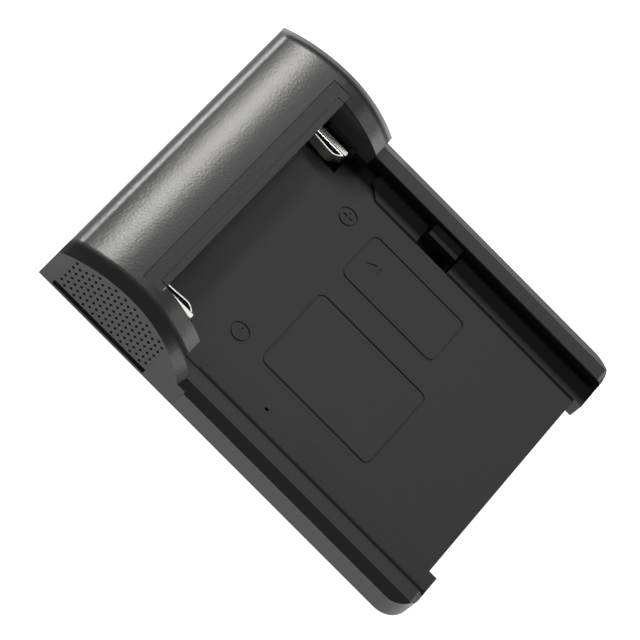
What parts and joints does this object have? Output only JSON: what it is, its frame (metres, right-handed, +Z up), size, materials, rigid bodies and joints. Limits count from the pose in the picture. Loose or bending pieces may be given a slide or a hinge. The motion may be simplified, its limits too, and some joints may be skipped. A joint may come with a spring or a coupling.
{
  "type": "camera battery charging plate",
  "caption": "Flat moulded charging plate for a camera battery: raised head with folded spring contacts, side rails and an open front.",
  "frame": {"origin": "bottom centre of the plate's outline, on the surface that it stands on", "axes": "+Y towards the raised head, +X to the right across the battery, +Z up"},
  "size_m": [0.0456, 0.0538, 0.008],
  "materials": {
    "body_plastic": "satin dark grey moulded ABS",
    "cover_plastic": "satin dark grey moulded ABS",
    "base_plastic": "matt black moulded ABS",
    "contact_metal": "bright nickel-plated spring strip",
    "holder_plastic": "matt cream nylon",
    "board": "green solder mask",
    "pad_metal": "gold-plated",
    "resistor": "matt black",
    "screw_metal": "zinc-plated"
  },
  "bodies": {
    "root": {"plate_body": "body_plastic", "contact_cover": "cover_plastic", "base_cover": "base_plastic", "minus_contact": "contact_metal", "plus_contact": "contact_metal", "minus_holder": "holder_plastic", "plus_holder": "holder_plastic", "circuit_board": "board", "minus_pad": "pad_metal", "plus_pad": "pad_metal", "code_pad": "pad_metal", "code_resistor": "resistor", "cover_screws": "screw_metal"}
  },
  "joints": []
}
